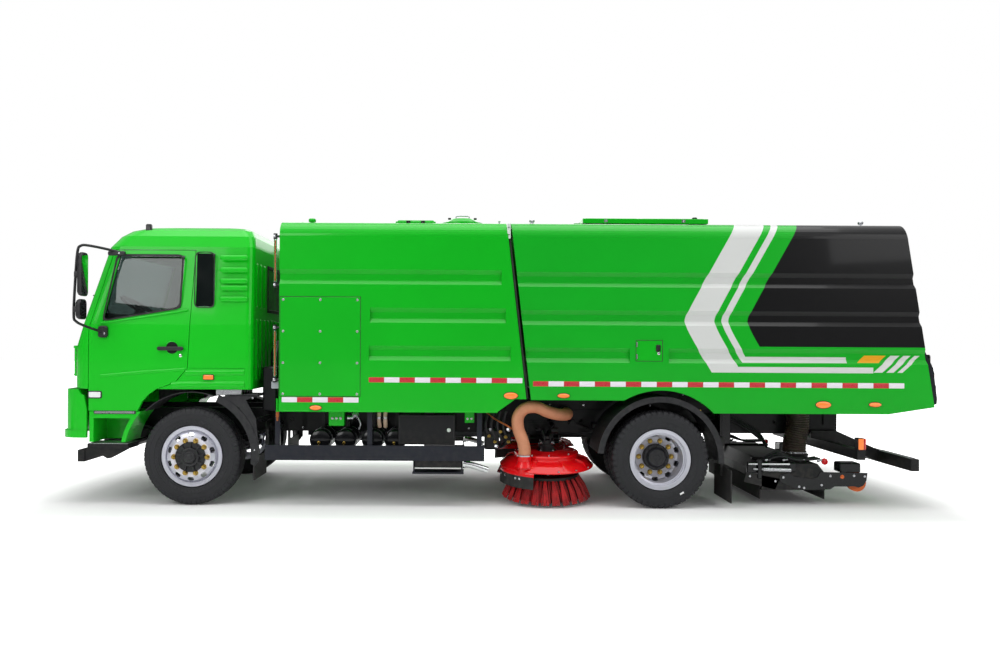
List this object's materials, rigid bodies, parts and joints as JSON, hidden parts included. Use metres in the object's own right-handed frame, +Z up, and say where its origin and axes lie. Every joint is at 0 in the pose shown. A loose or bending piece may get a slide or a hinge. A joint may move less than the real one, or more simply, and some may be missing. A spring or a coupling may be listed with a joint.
{
  "type": "street sweeper truck",
  "caption": "Two-axle cab-over street sweeper truck with water tank module, tipping hopper, gutter brushes and a rear suction nozzle.",
  "frame": {"origin": "middle of the whole vehicle's box, on the ground", "axes": "+X to the rear, -Y to the vehicle's left side, +Z up"},
  "size_m": [8.852, 3.2, 2.9705],
  "materials": {
    "chassis_paint": "satin black chassis paint",
    "driveline_grey": "grey machine enamel",
    "black_plastic": "moulded black plastic",
    "black_rubber": "sheet rubber",
    "green_paint": "glossy green enamel with a grey and black livery",
    "tail_panel": "satin black painted tailgate",
    "window_glass": "tinted toughened glass",
    "seat_fabric": "woven grey fabric",
    "tyre_rubber": "black tyre rubber",
    "wheel_silver": "silver wheel paint",
    "red_cover": "glossy red moulded cover",
    "red_bristle": "red plastic bristle",
    "suction_hose_tan": "ribbed salmon-coloured hose",
    "wheel_orange": "orange cast polyurethane"
  },
  "bodies": {
    "chassis": {"frame_rails": "chassis_paint", "cross_members": "chassis_paint", "driveline": "driveline_grey", "front_axle": "chassis_paint", "rear_axle": "chassis_paint", "leaf_springs": "chassis_paint", "front_step_frame": "chassis_paint", "side_guards": "chassis_paint", "air_tanks": "chassis_paint", "equipment_boxes": "black_plastic", "mudguards": "black_plastic", "mud_flaps": "black_rubber", "rear_bars": "chassis_paint", "pivot_brackets": "chassis_paint", "water_tank": "green_paint", "access_panels": "green_paint", "brush_hoses": "suction_hose_tan", "suction_hose": "black_rubber"},
    "tank_lid": {"tank_lid": "green_paint"},
    "cab": {"cab_floor": "green_paint", "cab_shell": "green_paint", "cab_roof": "green_paint", "grille_panel": "green_paint", "front_bumper": "green_paint", "cab_windows": "window_glass", "dashboard": "black_plastic", "seats": "seat_fabric", "steering_wheel": "black_plastic"},
    "door_left": {"door_left": "green_paint", "door_glass_left": "window_glass", "mirror_left": "black_plastic"},
    "door_right": {"door_right": "green_paint", "door_glass_right": "window_glass", "mirror_right": "black_plastic"},
    "knuckle_left": {"knuckle_left": "chassis_paint"},
    "knuckle_right": {"knuckle_right": "chassis_paint"},
    "track_rod": {"track_rod": "chassis_paint"},
    "wheel_front_left": {"tyre_front_left": "tyre_rubber", "rim_front_left": "wheel_silver"},
    "wheel_front_right": {"tyre_front_right": "tyre_rubber", "rim_front_right": "wheel_silver"},
    "wheels_rear_left": {"tyres_rear_left": "tyre_rubber", "rims_rear_left": "wheel_silver"},
    "wheels_rear_right": {"tyres_rear_right": "tyre_rubber", "rims_rear_right": "wheel_silver"},
    "hopper": {"hopper_side_left": "green_paint", "hopper_side_right": "green_paint", "hopper_roof": "green_paint", "hopper_floor": "green_paint"},
    "tailgate": {"tailgate": "tail_panel"},
    "roof_hatch": {"roof_hatch": "green_paint"},
    "service_flap": {"service_flap": "green_paint"},
    "brush_arm_left": {"brush_arm_left": "red_cover"},
    "brush_arm_right": {"brush_arm_right": "red_cover"},
    "gutter_brush_left": {"gutter_brush_left": "red_bristle"},
    "gutter_brush_right": {"gutter_brush_right": "red_bristle"},
    "nozzle": {"suction_nozzle": "chassis_paint"},
    "nozzle_wheels": {"nozzle_wheels": "wheel_orange"}
  },
  "joints": [
    {"name": "cab_tilt", "type": "hinge", "parent": "chassis", "child": "cab", "pos_m": [-4.244, 0, 0.76], "axis": [0, -1, 0], "range_deg": [0, 50]},
    {"name": "door_left_swing", "type": "hinge", "parent": "cab", "child": "door_left", "pos_m": [-4.076, -1.198, 1.7], "axis": [0, 0, -1], "range_deg": [0, 70]},
    {"name": "door_right_swing", "type": "hinge", "parent": "cab", "child": "door_right", "pos_m": [-4.076, 1.198, 1.7], "axis": [0, 0, 1], "range_deg": [0, 70]},
    {"name": "steer_left", "type": "hinge", "parent": "chassis", "child": "knuckle_left", "pos_m": [-3.049, -0.88, 0.49], "axis": [0, 0, 1], "range_deg": [-35, 35]},
    {"name": "steer_right", "type": "hinge", "parent": "chassis", "child": "knuckle_right", "pos_m": [-3.049, 0.88, 0.49], "axis": [0, 0, 1], "range_deg": [-35, 35]},
    {"name": "track_rod_pivot", "type": "hinge", "parent": "knuckle_left", "child": "track_rod", "pos_m": [-2.849, -0.88, 0.42], "axis": [0, 0, 1], "range_deg": [-35, 35]},
    {"name": "spin_front_left", "type": "hinge", "parent": "knuckle_left", "child": "wheel_front_left", "pos_m": [-3.049, -1.04, 0.49], "axis": [0, 1, 0], "continuous": true},
    {"name": "spin_front_right", "type": "hinge", "parent": "knuckle_right", "child": "wheel_front_right", "pos_m": [-3.049, 1.04, 0.49], "axis": [0, 1, 0], "continuous": true},
    {"name": "spin_rear_left", "type": "hinge", "parent": "chassis", "child": "wheels_rear_left", "pos_m": [1.651, -0.9375, 0.49], "axis": [0, 1, 0], "continuous": true},
    {"name": "spin_rear_right", "type": "hinge", "parent": "chassis", "child": "wheels_rear_right", "pos_m": [1.651, 0.9375, 0.49], "axis": [0, 1, 0], "continuous": true},
    {"name": "hopper_tip", "type": "hinge", "parent": "chassis", "child": "hopper", "pos_m": [3.646, 0, 1.009], "axis": [0, 1, 0], "range_deg": [0, 40]},
    {"name": "tailgate_swing", "type": "hinge", "parent": "hopper", "child": "tailgate", "pos_m": [4.1, 0, 2.812], "axis": [0, -1, 0], "range_deg": [0, 80]},
    {"name": "hatch_swing", "type": "hinge", "parent": "hopper", "child": "roof_hatch", "pos_m": [0.921, 0, 2.915], "axis": [0, -1, 0], "range_deg": [0, 70]},
    {"name": "flap_swing", "type": "hinge", "parent": "hopper", "child": "service_flap", "pos_m": [1.397, -1.25, 1.58], "axis": [0, 0, -1], "range_deg": [0, 100]},
    {"name": "tank_lid_swing", "type": "hinge", "parent": "chassis", "child": "tank_lid", "pos_m": [-0.584, -0.65, 2.876], "axis": [0, -1, 0], "range_deg": [0, 80]},
    {"name": "brush_lift_left", "type": "hinge", "parent": "chassis", "child": "brush_arm_left", "pos_m": [0.546, -0.5, 0.62], "axis": [-1, 0, 0], "range_deg": [0, 15], "deforming": ["brush_hoses"]},
    {"name": "brush_lift_right", "type": "hinge", "parent": "chassis", "child": "brush_arm_right", "pos_m": [0.546, 0.5, 0.62], "axis": [1, 0, 0], "range_deg": [0, 15]},
    {"name": "brush_spin_left", "type": "hinge", "parent": "brush_arm_left", "child": "gutter_brush_left", "pos_m": [0.546, -0.795, 0.062], "axis": [0, -0.0872, 0.9962], "continuous": true},
    {"name": "brush_spin_right", "type": "hinge", "parent": "brush_arm_right", "child": "gutter_brush_right", "pos_m": [0.546, 0.795, 0.062], "axis": [0, 0.0872, 0.9962], "continuous": true},
    {"name": "nozzle_lift", "type": "slide", "parent": "chassis", "child": "nozzle", "axis": [0, 0, 1], "range_m": [-0.13, 0], "deforming": ["suction_hose"]},
    {"name": "nozzle_wheel_spin", "type": "hinge", "parent": "nozzle", "child": "nozzle_wheels", "pos_m": [3.726, 0, 0.235], "axis": [0, 1, 0], "continuous": true}
  ],
  "couplings": [
    {"joint": "steer_right", "follows": "steer_left", "ratio": 1},
    {"joint": "track_rod_pivot", "follows": "steer_left", "ratio": -1}
  ]
}
